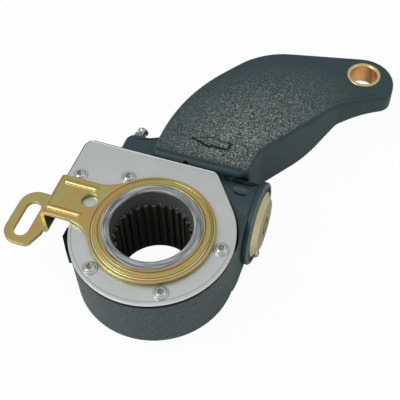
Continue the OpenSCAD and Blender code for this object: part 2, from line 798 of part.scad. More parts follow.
module control_disc() {
    notch_half = tongue_r + 0.5;
    notch_angle = atan2(tongue_y, tongue_x);
    color(dark_steel) difference() {
        union() {
            translate([0, 0, disc_low]) cylinder(r = disc_r, h = disc_thick);
            translate([0, 0, disc_low]) cylinder(r = collar_r, h = collar_top - hub_chamfer - disc_low);
            translate([0, 0, collar_top - hub_chamfer])
                cylinder(r1 = collar_r, r2 = collar_r - hub_chamfer, h = hub_chamfer);
        }
        translate([0, 0, disc_low - 1]) cylinder(r = collar_in_r, h = collar_top - disc_low + 2);
        rotate(notch_angle) translate([-tongue_x - tongue_r - 0.3, -notch_half, disc_low - 1])
            cube([10, 2 * notch_half, disc_thick + 2]);
    }
}

// Control arm: ring, bent strip and slotted loop
module bent_strip_2d() {
    inner = bend_r;
    outer = inner + sheet;
    wall_x = -strip_reach;
    loop_low = sheet_low - step_down;
    translate([wall_x + outer, sheet_low]) square([strip_reach - outer - ring_r + 8, sheet]);
    translate([wall_x + outer, sheet_top - outer]) intersection() {
        difference() {
            circle(r = outer);
            circle(r = inner);
        }
        translate([-outer - 1, 0]) square(outer + 1);
    }
    translate([wall_x, loop_low + outer]) square([sheet, step_down + sheet - 2 * outer]);
    translate([wall_x - inner, loop_low + outer]) intersection() {
        difference() {
            circle(r = outer);
            circle(r = inner);
        }
        translate([0, -outer - 1]) square(outer + 1);
    }
    translate([wall_x - inner - 2, loop_low]) square([2 + hair, sheet]);
}

module slotted_loop_2d() {
    loop_left = -strip_reach - 20.3;
    loop_right = -strip_reach - bend_r;
    slot_x = loop_left + 4.7 + slot_width / 2;
    slot_y = -4.4;
    low = slot_y - slot_length / 2 - 4.2;
    high = slot_y + slot_length / 2 + 6.4;
    difference() {
        polygon(rounded([[loop_left, low, 8], [loop_left + 15.5, low, 3.5], [loop_right, strip_low - 2, 2],
            [loop_right, high, 2], [loop_left, high, 9]]));
        for (side = [-1, 1]) translate([slot_x, slot_y + side * (slot_length - slot_width) / 2])
            circle(d = slot_width);
        translate([slot_x - slot_width / 2, slot_y - (slot_length - slot_width) / 2])
            square([slot_width, slot_length - slot_width]);
    }
}

module control_ring() {
    top = sheet_top;
    band = top + 0.35;
    rim = collar_top - 0.3;
    rotate_extrude() polygon([[collar_r + seating, sheet_low], [ring_r - 1.3, sheet_low], [ring_r, top - 1.1],
        [ring_r, top - 0.5], [ring_r - 0.5, top - 0.1], [ring_r - 1.4, top - 0.1], [ring_r - 1.8, top - 0.5],
        [ring_r - 2.2, top - 0.5], [ring_r - 2.6, band - 0.1], [ring_r - 3, band], [collar_r + 1.5, band],
        [collar_r + 0.9, rim], [collar_r + seating, rim]]);
}

// Pressed rib along the strip
module strip_rib(from, y) {
    rib_r = 1.5;
    length = 16;
    translate([from, y, sheet_top - 0.6]) intersection() {
        union() {
            rotate([0, 90, 0]) cylinder(r = rib_r, h = length, $fn = 32);
            for (x = [0, length]) translate([x, 0, 0]) sphere(r = rib_r, $fn = 32);
        }
        translate([-5, -5, 0]) cube([length + 10, 10, 5]);
    }
}

module control_arm() {
    hole = [-34.4, 5.6];
    color(chromate) union() {
        control_ring();
        difference() {
            union() {
                translate([0, strip_high, 0]) rotate([90, 0, 0]) linear_extrude(strip_high - strip_low)
                    bent_strip_2d();
                translate([0, 0, sheet_low]) linear_extrude(sheet) {
                    strip_fillet(strip_high, 1, 20);
                    strip_fillet(strip_low, -1, 16);
                }
            }
            translate([0, 0, -1]) cylinder(r = ring_r - 0.6, h = clear);
            translate([hole[0], hole[1], -1]) cylinder(d = strip_hole_d, h = clear);
        }
        translate([0, 0, sheet_low - step_down]) linear_extrude(sheet) slotted_loop_2d();
        strip_rib(5 - strip_reach, strip_high - 3.7);
        strip_rib(3.3 - strip_reach, strip_low + 4);
    }
}

housing();
cover_plate();
cover_gasket();
cover_screws();
arm_bush();
grease_nipple();
end_plug();
plug_seal();
plug_lock_screw();
coupling_spring();
spring_seat();
thrust_washer();
worm_bush();
shaft_seal();
front_seal();
rear_seal();
worm_wheel();
worm_shaft();
clutch_hub();
clutch_spring();
clutch_gear();
rack();
control_disc();
control_arm();
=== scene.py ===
"""Looks of an automatic brake slack adjuster: finishes, floor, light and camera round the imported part. Metres."""

import json
import math

import bpy
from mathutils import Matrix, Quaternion, Vector


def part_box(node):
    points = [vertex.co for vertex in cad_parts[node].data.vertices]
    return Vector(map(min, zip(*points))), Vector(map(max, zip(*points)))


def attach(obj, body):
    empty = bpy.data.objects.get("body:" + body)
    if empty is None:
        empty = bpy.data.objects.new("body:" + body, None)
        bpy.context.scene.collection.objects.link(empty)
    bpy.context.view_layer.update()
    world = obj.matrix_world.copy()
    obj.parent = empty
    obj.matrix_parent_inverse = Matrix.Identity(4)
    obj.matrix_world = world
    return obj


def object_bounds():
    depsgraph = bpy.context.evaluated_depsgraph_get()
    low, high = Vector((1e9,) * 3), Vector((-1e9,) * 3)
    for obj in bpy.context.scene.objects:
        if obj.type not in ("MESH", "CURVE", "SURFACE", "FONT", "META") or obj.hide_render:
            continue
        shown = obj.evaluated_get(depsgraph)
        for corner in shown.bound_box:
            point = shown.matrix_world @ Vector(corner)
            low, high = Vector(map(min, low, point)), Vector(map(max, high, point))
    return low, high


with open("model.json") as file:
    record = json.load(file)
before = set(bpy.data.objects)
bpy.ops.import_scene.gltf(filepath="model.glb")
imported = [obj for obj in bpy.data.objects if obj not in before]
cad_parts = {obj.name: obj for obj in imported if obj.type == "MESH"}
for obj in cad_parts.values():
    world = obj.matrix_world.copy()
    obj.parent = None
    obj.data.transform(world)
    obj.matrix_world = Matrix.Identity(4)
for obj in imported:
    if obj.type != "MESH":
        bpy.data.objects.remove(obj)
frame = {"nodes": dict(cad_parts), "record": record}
cad_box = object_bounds()
nodes = frame["nodes"]
MM = 0.001

# Arm: height of its level face, the heights between which that face begins, and the end of its smooth foot
ARM_TOP = 2.5 * MM
ARM_FACE = (1.6 * MM, 2.3 * MM)
FOOT_END = 46.5 * MM
# Middle of the painted sheen on the arm's grainy face, and its long and short way divided by their reach
SHEEN_MIDDLE = (24 * MM, 66 * MM, ARM_TOP)
SHEEN_ALONG = Vector((0.55, 0.835, 0)) / (68 * MM)
SHEEN_ACROSS = Vector((-0.835, 0.55, 0)) / (44 * MM)
# Raised arrow on the arm: the place of its tip, then the place along it and the half width of its barbs and its tail
ARROW_TIP = (-1 * MM, 58.7 * MM)
ARROW_BARB = (10 * MM, 3.4 * MM)
ARROW_TAIL = (19.2 * MM, 2.3 * MM)
# Round body on the hub's axis, the seat of the cover's gasket, and the corner of the ledge beside the body
HUB_AXIS = (0, 0, 0)
ACROSS_HUB = (1, 1, 0)
BODY_R = 40 * MM
SEAT_Z = -2.1 * MM
LEDGE_CORNER = (-32 * MM, 13 * MM)
# Mouth of the vent at the arm's foot
VENT_AT = (1 * MM, 42.5 * MM, 0)
VENT_R = 1.9 * MM
# Dimple on top of the worm's barrel, and its reach each way, which has no end in height
DIMPLE_AT = (32.6 * MM, 36.2 * MM, 0)
DIMPLE_REACH = (4 * MM, 2.4 * MM, 1000)
# Recess between the barrel and the arm's foot, which holds painted shade, and its reach each way
RECESS_AT = (32.5 * MM, 45.4 * MM, -5.5 * MM)
RECESS_REACH = (8 * MM, 2.2 * MM, 2.6 * MM)
# End boss with its plug, the gap round the plug, and the plug's key slot
BOSS_END = 43.7 * MM
BOSS_R = 21.5 * MM
PLUG_AXIS = (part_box("end_plug")[0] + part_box("end_plug")[1]) / 2
ACROSS_PLUG = (0, 1, 1)
PLUG_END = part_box("end_plug")[1].x
PLUG_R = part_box("end_plug")[1].y - PLUG_AXIS.y
PLUG_GAP = 2.2 * MM
PLUG_SLOT_R = 5 * MM
# Control ring: radii of its pressed groove, of that groove's inner wall and of the foot of its collar
GROOVE_R = 29.05 * MM
GROOVE_WALL_R = 28.45 * MM
COLLAR_FOOT_R = 25.4 * MM
# Cover plate: its straight upper edge, the line of painted shade inside its round edge, and the floor of its screws'
# drives
PLATE_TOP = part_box("cover_plate")[1].y
PLATE_SHADE_LINE_R = BODY_R - 1.5 * MM
DRIVE_FLOOR = 0.62 * MM
# Heights below which the hub is painted dark, as shade in its bore, and below which that painted shade is darkest, and
# one that is below all of the collar
HUB_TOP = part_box("worm_wheel")[1].z
HUB_SHADED = HUB_TOP - 1.1 * MM
BORE_DARKEST = HUB_TOP - 9.2 * MM
BELOW_COLLAR = -20 * MM


# Small helpers
def linear(hex_colour):
    """Turns an sRGB hex value into a linear colour with alpha."""
    parts = [int(hex_colour[i : i + 2], 16) / 255 for i in (1, 3, 5)]
    return [c / 12.92 if c <= 0.04045 else ((c + 0.055) / 1.055) ** 2.4 for c in parts] + [1]


def per_metre(size_mm):
    """Scale of a pattern whose cells have this size in millimetres."""
    return 1000 / size_mm


def add(tree, kind, sockets=(), **settings):
    """Adds a node with its settings, and fills its sockets with values or links them to other nodes.

    A socket goes by its name or number. In MapRange, 0 is the value, 1 and 2 are where it comes from, and 3 and 4 are
    where it goes to. In Mix, 0 is the share, 2 and 3 are numbers, 4 and 5 are vectors, and 6 and 7 are colours.
    """
    made = tree.nodes.new("ShaderNode" + kind)
    for name, value in settings.items():
        setattr(made, name, value)
    for name, value in dict(sockets).items():
        if isinstance(value, bpy.types.NodeSocket):
            tree.links.new(value, made.inputs[name])
        else:
            made.inputs[name].default_value = value
    return made


def start_finish(name, colour, sockets=()):
    """Starts a material with a uniform colour. Returns it with its tree and the place on the part."""
    material = bpy.data.materials.new(name)
    material.use_nodes = True
    tree = material.node_tree
    shader = tree.nodes["Principled BSDF"]
    shader.inputs["Base Color"].default_value = linear(colour)
    for socket, value in dict(sockets).items():
        shader.inputs[socket].default_value = value
    return material, tree, add(tree, "TexCoord").outputs


def end_finish(material, sockets):
    """Links what was made to the sockets of the material's shader, and returns the material."""
    tree = material.node_tree
    for name, made in sockets.items():
        tree.links.new(made, tree.nodes["Principled BSDF"].inputs[name])
    return material


def layered(tree, colour, marks):
    """Lays marks over a colour, one after another. Each mark is its share and its own colour."""
    for share, shade in marks:
        colour = add(tree, "Mix", {0: share, 6: colour, 7: linear(shade)}, data_type="RGBA").outputs[2]
    return colour


def clouded(tree, place, size_mm, first, second):
    """Two colours that drift into each other in clouds of this size. Returns the colour and the drift."""
    drift = add(tree, "TexNoise", {"Vector": place["Object"], "Scale": per_metre(size_mm), "Detail": 3}).outputs[0]
    return layered(tree, linear(first), [(drift, second)]), drift


def from_axis(tree, place, axis, across):
    """Distance from an axis, given by a point on it and by ones for the two directions across it."""
    offset = add(tree, "VectorMath", {0: place["Object"], 1: axis}, operation="SUBTRACT").outputs[0]
    offset = add(tree, "VectorMath", {0: offset, 1: across}, operation="MULTIPLY").outputs[0]
    return add(tree, "VectorMath", {0: offset}, operation="LENGTH").outputs["Value"]


def from_middle(tree, place, middle, reach):
    """Offset from the middle of an oval hollow, divided by its reach each way, and the length of that offset."""
    offset = add(tree, "VectorMath", {0: place["Object"], 1: middle}, operation="SUBTRACT").outputs[0]
    offset = add(tree, "VectorMath", {0: offset, 1: reach}, operation="DIVIDE").outputs[0]
    return offset, add(tree, "VectorMath", {0: offset}, operation="LENGTH").outputs["Value"]


def edge_sheen(tree, width):
    """Share of painted highlight next to a sharp edge, and the normal of that edge when it is rounded off by this
    width.
    """
    rounded = add(tree, "Bevel", {"Radius": width}, samples=6).outputs[0]
    flat = add(tree, "NewGeometry").outputs["True Normal"]
    alike = add(tree, "VectorMath", {0: rounded, 1: flat}, operation="DOT_PRODUCT").outputs["Value"]
    return add(tree, "MapRange", {0: alike, 1: 0.97, 2: 0.8, 3: 0, 4: 1}).outputs[0], rounded


# Marks on the housing's paint
def arm_sand_glints(tree, place, at, on_arm, level):
    """Share of the sand grain's pale specks on the arm's face, which are painted glints under a painted sheen:
    strongest near the root on faces that look up, fading in an oval towards the bush and the outer edge.
    """
    away = add(tree, "VectorMath", {0: place["Object"], 1: SHEEN_MIDDLE}, operation="SUBTRACT").outputs[0]
    along = add(tree, "VectorMath", {0: away, 1: SHEEN_ALONG}, operation="DOT_PRODUCT").outputs["Value"]
    across = add(tree, "VectorMath", {0: away, 1: SHEEN_ACROSS}, operation="DOT_PRODUCT").outputs["Value"]
    both_ways = add(tree, "CombineXYZ", {0: along, 1: across}).outputs[0]
    oval = add(tree, "VectorMath", {0: both_ways}, operation="LENGTH").outputs["Value"]
    near = add(tree, "MapRange", {0: oval, 1: 0.15, 2: 1.05, 3: 1, 4: 0}).outputs[0]
    facing = add(tree, "SeparateXYZ", {0: place["Normal"]}).outputs["Z"]
    upward = add(tree, "MapRange", {0: facing, 1: 0.5, 2: 0.75}).outputs[0]
    share = add(tree, "Math", {0: upward, 1: level}, operation="MAXIMUM").outputs[0]
    # The arm's foot, next to the cover, is smooth.
    past_foot = add(tree, "MapRange", {0: at["Y"], 1: FOOT_END, 2: FOOT_END + 2.5 * MM}).outputs[0]
    for limit in (near, on_arm, past_foot):
        share = add(tree, "Math", {0: share, 1: limit}, operation="MULTIPLY").outputs[0]
    return share


def arrow_shadow(tree, at, on_arm):
    """Painted shadow: a dark line round the foot of the raised arrow."""
    aside = add(tree, "Math", {0: at["Y"], 1: ARROW_TIP[1]}, operation="SUBTRACT").outputs[0]
    aside = add(tree, "Math", {0: aside}, operation="ABSOLUTE").outputs[0]
    head = add(tree, "MapRange", {0: at["X"], 1: ARROW_TIP[0], 2: ARROW_BARB[0], 3: 0, 4: ARROW_BARB[1]}).outputs[0]
    behind = add(tree, "Math", {0: at["X"], 1: ARROW_BARB[0]}, operation="GREATER_THAN").outputs[0]
    half = add(tree, "Mix", {0: behind, 2: head, 3: ARROW_TAIL[1]}).outputs[0]
    off = add(tree, "Math", {0: aside, 1: half}, operation="SUBTRACT").outputs[0]
    off_tail = add(tree, "Math", {0: at["X"], 1: ARROW_TAIL[0]}, operation="SUBTRACT").outputs[0]
    off_tip = add(tree, "Math", {0: ARROW_TIP[0], 1: at["X"]}, operation="SUBTRACT").outputs[0]
    for end in (off_tail, off_tip):
        off = add(tree, "Math", {0: off, 1: end}, operation="MAXIMUM").outputs[0]
    off = add(tree, "Math", {0: off}, operation="ABSOLUTE").outputs[0]
    shade_line = add(tree, "MapRange", {0: off, 1: 0.3 * MM, 2: 0.7 * MM, 3: 0.75, 4: 0}).outputs[0]
    return add(tree, "Math", {0: shade_line, 1: on_arm}, operation="MULTIPLY").outputs[0]


def dimple_dust_and_shade(tree, place):
    """Brown dust in the dimple on top of the worm's barrel, and painted shade along the lip on its near side."""
    offset, dimple = from_middle(tree, place, DIMPLE_AT, DIMPLE_REACH)
    dust = add(tree, "MapRange", {0: dimple, 1: 0.6, 2: 1, 3: 0.5, 4: 0}).outputs[0]
    near_side = add(tree, "SeparateXYZ", {0: offset}).outputs["Y"]
    near_side = add(tree, "MapRange", {0: near_side, 1: -0.6, 2: -0.3, 3: 0.85, 4: 0}).outputs[0]
    lip = add(tree, "MapRange", {0: dimple, 1: 0.5, 2: 0.75}).outputs[0]
    lip = add(tree, "MapRange", {0: dimple, 1: 1, 2: 1.2, 3: lip, 4: 0}).outputs[0]
    return dust, add(tree, "Math", {0: lip, 1: near_side}, operation="MULTIPLY").outputs[0]


def boss_end_marks(tree, place, at):
    """Grey of the boss's rubbed end face, and painted shade in the gap round the plug."""
    ring = from_axis(tree, place, PLUG_AXIS, ACROSS_PLUG)
    on_end = add(tree, "MapRange", {0: at["X"], 1: BOSS_END - 1.2 * MM, 2: BOSS_END - 0.7 * MM}).outputs[0]
    on_boss = add(tree, "Math", {0: ring, 1: BOSS_R + 0.5 * MM}, operation="LESS_THAN").outputs[0]
    on_end = add(tree, "Math", {0: on_end, 1: on_boss}, operation="MULTIPLY").outputs[0]
    gap_end = PLUG_R + PLUG_GAP
    gap_shade = add(tree, "MapRange", {0: ring, 1: gap_end, 2: gap_end + 0.4 * MM, 3: 1, 4: 0}).outputs[0]
    gap_shade = add(tree, "Math", {0: gap_shade, 1: on_end}, operation="MULTIPLY").outputs[0]
    return add(tree, "MapRange", {0: on_end, 3: 0, 4: 0.7}).outputs[0], gap_shade


def painted_shade_marks(tree, place, at, from_hub, on_body):
    """Painted shade: black in the vent's mouth, a painted shadow along the joint under the cover's gasket, and black
    on the ledge beside the body.
    """
    vent_shade = from_axis(tree, place, VENT_AT, ACROSS_HUB)
    vent_shade = add(tree, "MapRange", {0: vent_shade, 1: 0.9 * VENT_R, 2: VENT_R, 3: 1, 4: 0}).outputs[0]
    joint_shadow = add(tree, "MapRange", {0: at["Z"], 1: SEAT_Z - 1.9 * MM, 2: SEAT_Z - 1.2 * MM}).outputs[0]
    joint_shadow = add(tree, "Math", {0: joint_shadow, 1: on_body}, operation="MULTIPLY").outputs[0]
    ledge_x, ledge_y = LEDGE_CORNER
    ledge_shade = add(tree, "MapRange", {0: at["X"], 1: ledge_x - 2 * MM, 2: ledge_x, 3: 0.8, 4: 0}).outputs[0]
    low = add(tree, "MapRange", {0: at["Y"], 1: ledge_y - 2 * MM, 2: ledge_y, 3: 1, 4: 0}).outputs[0]
    outside = add(tree, "Math", {0: from_hub, 1: BODY_R + 0.3 * MM}, operation="GREATER_THAN").outputs[0]
    for limit in (low, outside):
        ledge_shade = add(tree, "Math", {0: ledge_shade, 1: limit}, operation="MULTIPLY").outputs[0]
    return vent_shade, joint_shadow, ledge_shade


# Finishes
def sand_cast_enamel():
    """Satin enamel on sand-cast iron: dark teal, pebbled by the mould's sand, with grey grains on the arm's face whose
    pale specks are painted glints, painted shade in its hollows and painted highlight on its edges.
    """
    material, tree, place = start_finish("sand_cast_enamel", "#2A4142", {"Roughness": 0.5, "IOR": 1.5})
    at = add(tree, "SeparateXYZ", {0: place["Object"]}).outputs
    on_arm = add(tree, "MapRange", {0: at["Z"], 1: ARM_FACE[0], 2: ARM_FACE[1]}).outputs[0]
    level = add(tree, "MapRange", {0: at["Z"], 1: ARM_TOP - 0.5 * MM, 2: ARM_TOP - 0.15 * MM}).outputs[0]
    from_hub = from_axis(tree, place, HUB_AXIS, ACROSS_HUB)
    on_body = add(tree, "Math", {0: from_hub, 1: BODY_R + 1 * MM}, operation="LESS_THAN").outputs[0]
    # The round body's wall shows a little of the sand grain and its painted glints all over.
    faint = add(tree, "MapRange", {0: on_body, 3: 0, 4: 0.2}).outputs[0]
    sand_glint_share = arm_sand_glints(tree, place, at, on_arm, level)
    sand_glint_share = add(tree, "Math", {0: sand_glint_share, 1: faint}, operation="MAXIMUM").outputs[0]
    # A grain of moulding sand is about 0.3 mm and is drawn a little coarser, so that it shows.
    grain = add(tree, "TexVoronoi", {"Vector": place["Object"], "Scale": per_metre(0.43)}).outputs["Color"]
    lot = add(tree, "SeparateXYZ", {0: grain}).outputs["X"]
    # The pale grains are painted glints of light on the rough sand.
    bright = add(tree, "Math", {0: lot, 1: 2.6}, operation="POWER").outputs[0]
    sand = layered(tree, linear("#101B1C"), [(bright, "#AAB8B1")])
    # The arm's foot is painted darker: painted shade.
    foot_shade = add(tree, "MapRange", {0: at["Y"], 1: FOOT_END, 2: FOOT_END + 1.5 * MM, 3: 0.6, 4: 0}).outputs[0]
    foot_shade = add(tree, "Math", {0: foot_shade, 1: on_arm}, operation="MULTIPLY").outputs[0]
    ground, _ = clouded(tree, place, 22, "#203A3E", "#2A4244")
    ground = layered(tree, ground, [(foot_shade, "#142628")])
    colour = add(tree, "Mix", {0: sand_glint_share, 6: ground, 7: sand}, data_type="RGBA").outputs[2]
    # The arrow's dark outline is painted shadow.
    outline = arrow_shadow(tree, at, on_arm)
    dust, lip = dimple_dust_and_shade(tree, place)
    # Painted shade fills the recess between the barrel and the arm's foot.
    _, sunk_shade = from_middle(tree, place, RECESS_AT, RECESS_REACH)
    sunk_shade = add(tree, "MapRange", {0: sunk_shade, 1: 0.85, 2: 1, 3: 0.75, 4: 0}).outputs[0]
    # The black marks are painted shade: in the gap round the plug, the vent's mouth, under the cover's edge and on the
    # ledge.
    grey, black_shade = boss_end_marks(tree, place, at)
    for mark in painted_shade_marks(tree, place, at, from_hub, on_body):
        black_shade = add(tree, "Math", {0: black_shade, 1: mark}, operation="MAXIMUM").outputs[0]
    # The arm's level face has rounded edges in its own shape, so only the other edges are rounded off here.
    edge, rounded = edge_sheen(tree, 0.9 * MM)
    rounded = add(tree, "Mix", {0: level, 4: rounded, 5: (0, 0, 1)}, data_type="VECTOR").outputs[1]
    edge = add(tree, "Mix", {0: level, 2: edge, 3: 0}).outputs[0]
    # Edges are paler: painted highlight.
    edge_highlight = add(tree, "MapRange", {0: edge, 3: 0, 4: 0.25}).outputs[0]
    # Of these, the outline, the lip, the recess and the black are painted shade, and the pale edges are painted
    # highlight.
    colour = layered(tree, colour, [
        (outline, "#0D1616"), (dust, "#46433B"), (lip, "#0B1213"), (sunk_shade, "#0B1213"), (grey, "#6E7A78"),
        (edge_highlight, "#8A9894"), (black_shade, "#020303"),
    ])
    pebble = add(tree, "TexNoise", {"Vector": place["Object"], "Scale": per_metre(1.6), "Detail": 3}).outputs[0]
    skin = add(tree, "Bump", {"Strength": 0.14, "Distance": 0.3 * MM, "Height": pebble, "Normal": rounded}).outputs[0]
    # Paint's own gloss would veil the painted shade marks, and a black metal has none.
    all_shade = black_shade
    for mark in (outline, lip, sunk_shade):
        all_shade = add(tree, "Math", {0: all_shade, 1: mark}, operation="MAXIMUM").outputs[0]
    return end_finish(material, {"Base Color": colour, "Metallic": all_shade, "Normal": skin})


def zinc_plated_sheet():
    """Dull zinc plate on rolled sheet: pale grey metal with a soft, faintly clouded sheen, a cut edge made bright by
    painted highlight, and a line of painted shade inside its round edge.
    """
    material, tree, place = start_finish("zinc_plated_sheet", "#D2D6D4", {"Metallic": 1, "Roughness": 0.45})
    colour, cloud = clouded(tree, place, 14, "#D0D5D3", "#DEE2E0")
    dull = add(tree, "MapRange", {0: cloud, 3: 0.4, 4: 0.54}).outputs[0]
    # The cut edge, and a strip along the straight upper edge, are painted white and made less metallic: painted
    # highlight.
    facing = add(tree, "SeparateXYZ", {0: place["Normal"]}).outputs["Z"]
    cut_highlight = add(tree, "MapRange", {0: facing, 1: 0.5, 2: 0.8, 3: 1, 4: 0}).outputs[0]
    upper = add(tree, "SeparateXYZ", {0: place["Object"]}).outputs["Y"]
    upper_highlight = add(tree, "MapRange", {0: upper, 1: PLATE_TOP - 0.7 * MM, 2: PLATE_TOP - 0.4 * MM}).outputs[0]
    cut_highlight = add(tree, "Math", {0: cut_highlight, 1: upper_highlight}, operation="MAXIMUM").outputs[0]
    sheen = add(tree, "MapRange", {0: cut_highlight, 3: 1, 4: 0.2}).outputs[0]
    # A fine dark line of painted shade runs just inside the round edge, on its lower half.
    radius = from_axis(tree, place, HUB_AXIS, ACROSS_HUB)
    shade_line = add(tree, "Math", {0: radius, 1: PLATE_SHADE_LINE_R, 2: 0.22 * MM}, operation="COMPARE").outputs[0]
    lower = add(tree, "MapRange", {0: upper, 1: -5 * MM, 2: 5 * MM, 3: 0.45, 4: 0}).outputs[0]
    shade_line = add(tree, "Math", {0: shade_line, 1: lower}, operation="MULTIPLY").outputs[0]
    colour = layered(tree, colour, [(shade_line, "#6F7573"), (cut_highlight, "#FAFBFA")])
    _, rounded = edge_sheen(tree, 0.35 * MM)
    return end_finish(material, {"Base Color": colour, "Metallic": sheen, "Roughness": dull, "Normal": rounded})


def yellow_chromate():
    """Yellow chromate on zinc-plated sheet: olive gold that drifts to copper in patches, paler on edges and the
    groove's wall with painted highlight, darker in the groove and at the collar's foot with painted shade.
    """
    material, tree, place = start_finish("yellow_chromate", "#C3B876", {"Metallic": 1, "Roughness": 0.36})
    gold, fleck = clouded(tree, place, 2.4, "#B5AE67", "#CDC484")
    drift = add(tree, "TexNoise", {"Vector": place["Object"], "Scale": per_metre(12), "Detail": 3}).outputs[0]
    copper = add(tree, "MapRange", {0: drift, 1: 0.42, 2: 0.6}).outputs[0]
    # Painted shade lies in the pressed groove near the ring's rim and along the foot of its collar.
    radius = from_axis(tree, place, HUB_AXIS, ACROSS_HUB)
    groove = add(tree, "Math", {0: radius, 1: GROOVE_R, 2: 0.22 * MM}, operation="COMPARE").outputs[0]
    foot_shade = add(tree, "Math", {0: radius, 1: COLLAR_FOOT_R, 2: 0.2 * MM}, operation="COMPARE").outputs[0]
    hollow_shade = add(tree, "Math", {0: groove, 1: foot_shade}, operation="MAXIMUM").outputs[0]
    hollow_shade = add(tree, "MapRange", {0: hollow_shade, 3: 0, 4: 0.75}).outputs[0]
    edge, rounded = edge_sheen(tree, 0.5 * MM)
    # Edges are paler: painted highlight.
    edge_highlight = add(tree, "MapRange", {0: edge, 3: 0, 4: 0.5}).outputs[0]
    # A painted highlight lies on the groove's inner wall, on the side away from the lever.
    wall_highlight = add(tree, "Math", {0: radius, 1: GROOVE_WALL_R, 2: 0.28 * MM}, operation="COMPARE").outputs[0]
    lower = add(tree, "SeparateXYZ", {0: place["Object"]}).outputs["Y"]
    lower = add(tree, "MapRange", {0: lower, 1: -6 * MM, 2: 2 * MM, 3: 0.9, 4: 0}).outputs[0]
    wall_highlight = add(tree, "Math", {0: wall_highlight, 1: lower}, operation="MULTIPLY").outputs[0]
    edge_highlight = add(tree, "Math", {0: edge_highlight, 1: wall_highlight}, operation="MAXIMUM").outputs[0]
    colour = layered(tree, gold, [(copper, "#D0AC6C"), (hollow_shade, "#4A3C1C"), (edge_highlight, "#F6EECB")])
    bump = add(tree, "Bump", {"Strength": 0.1, "Distance": 0.2 * MM, "Height": fleck, "Normal": rounded}).outputs[0]
    return end_finish(material, {"Base Color": colour, "Normal": bump})


def turned_steel(name, shaded_below, darkest_below):
    """Turned steel: streaky grey rings, the tool's marks with painted reflections in them. Below the first height it
    is painted dark, as shade in the bore, and darker still below the second.
    """
    material, tree, place = start_finish(name, "#8A8D8C", {"Metallic": 0.35, "Roughness": 0.68})
    radius = from_axis(tree, place, HUB_AXIS, ACROSS_HUB)
    turn = add(tree, "TexGradient", {"Vector": place["Object"]}, gradient_type="RADIAL").outputs[1]
    # A streak is about 14 mm long round the ring and 0.7 mm wide, coarse enough to show.
    unrolled = add(tree, "CombineXYZ", {0: turn, 1: radius}).outputs[0]
    laid = add(tree, "VectorMath", {0: unrolled, 1: (10, per_metre(0.7), 0)}, operation="MULTIPLY").outputs[0]
    streak = add(tree, "TexNoise", {"Vector": laid, "Scale": 1, "Detail": 3}).outputs[0]
    spread = add(tree, "MapRange", {0: streak, 1: 0.38, 2: 0.64}).outputs[0]
    bright = layered(tree, linear("#646868"), [(spread, "#C6C9C7")])
    # Painted glints: bright specks on the upward ends of the splines.
    glint_noise = add(tree, "TexNoise", {"Vector": place["Object"], "Scale": per_metre(0.8), "Detail": 2}).outputs[0]
    speck = add(tree, "MapRange", {0: glint_noise, 1: 0.56, 2: 0.64}).outputs[0]
    facing = add(tree, "SeparateXYZ", {0: place["Normal"]}).outputs["Z"]
    upward = add(tree, "MapRange", {0: facing, 1: 0.6, 2: 0.9}).outputs[0]
    spline_glints = add(tree, "Math", {0: speck, 1: upward}, operation="MULTIPLY").outputs[0]
    height = add(tree, "SeparateXYZ", {0: place["Object"]}).outputs["Z"]
    # The bore is darker below the second height: painted shade.
    out_of_deep_shade = add(tree, "MapRange", {0: height, 1: darkest_below, 2: darkest_below + 0.3 * MM}).outputs[0]
    black_shade = layered(tree, linear("#3C3C3A"), [(out_of_deep_shade, "#686C6A"), (spline_glints, "#8D918E")])
    bare = add(tree, "MapRange", {0: height, 1: shaded_below, 2: shaded_below + 0.3 * MM}).outputs[0]
    colour = add(tree, "Mix", {0: bare, 6: black_shade, 7: bright}, data_type="RGBA").outputs[2]
    _, rounded = edge_sheen(tree, 0.4 * MM)
    bump = add(tree, "Bump", {"Strength": 0.08, "Distance": 0.1 * MM, "Height": streak, "Normal": rounded}).outputs[0]
    return end_finish(material, {"Base Color": colour, "Normal": bump})


def chromated_plug():
    """Pale chromate on a turned plug: cream-gold bevel, a greyer matte end face and painted shade in its key slot."""
    material, tree, place = start_finish("chromated_plug", "#C8BC86", {"Metallic": 1, "Roughness": 0.42})
    facing = add(tree, "SeparateXYZ", {0: place["Normal"]}).outputs["X"]
    end = add(tree, "MapRange", {0: facing, 1: 0.93, 2: 0.97}).outputs[0]
    face, _ = clouded(tree, place, 4, "#B2A67F", "#CBBF98")
    colour = add(tree, "Mix", {0: end, 6: linear("#DCD3A6"), 7: face}, data_type="RGBA").outputs[2]
    # The key slot is painted dark: painted shade.
    middle = from_axis(tree, place, PLUG_AXIS, ACROSS_PLUG)
    middle = add(tree, "MapRange", {0: middle, 1: 0.9 * PLUG_SLOT_R, 2: PLUG_SLOT_R, 3: 1, 4: 0}).outputs[0]
    reach = add(tree, "SeparateXYZ", {0: place["Object"]}).outputs["X"]
    sunk_shade = add(tree, "MapRange", {0: reach, 1: PLUG_END - 0.06 * MM, 2: PLUG_END - 0.02 * MM, 3: 1, 4: 0}).outputs[0]
    slot = add(tree, "Math", {0: middle, 1: sunk_shade}, operation="MULTIPLY").outputs[0]
    colour = layered(tree, colour, [(slot, "#17150F")])
    _, rounded = edge_sheen(tree, 0.5 * MM)
    return end_finish(material, {"Base Color": colour, "Normal": rounded})


def bush_bronze():
    """Drawn bronze bush: pale brass on faces that look up, as the lip does, copper-brown in uneven bands down the
    bore.
    """
    material, tree, place = start_finish("bush_bronze", "#C08A45", {"Metallic": 1, "Roughness": 0.32})
    facing = add(tree, "SeparateXYZ", {0: place["Normal"]}).outputs["Z"]
    lip = add(tree, "MapRange", {0: facing, 1: 0.3, 2: 0.8}).outputs[0]
    bore, _ = clouded(tree, place, 5, "#D6974F", "#FBC98B")
    colour = layered(tree, bore, [(lip, "#E3D59C")])
    _, rounded = edge_sheen(tree, 0.4 * MM)
    return end_finish(material, {"Base Color": colour, "Normal": rounded})


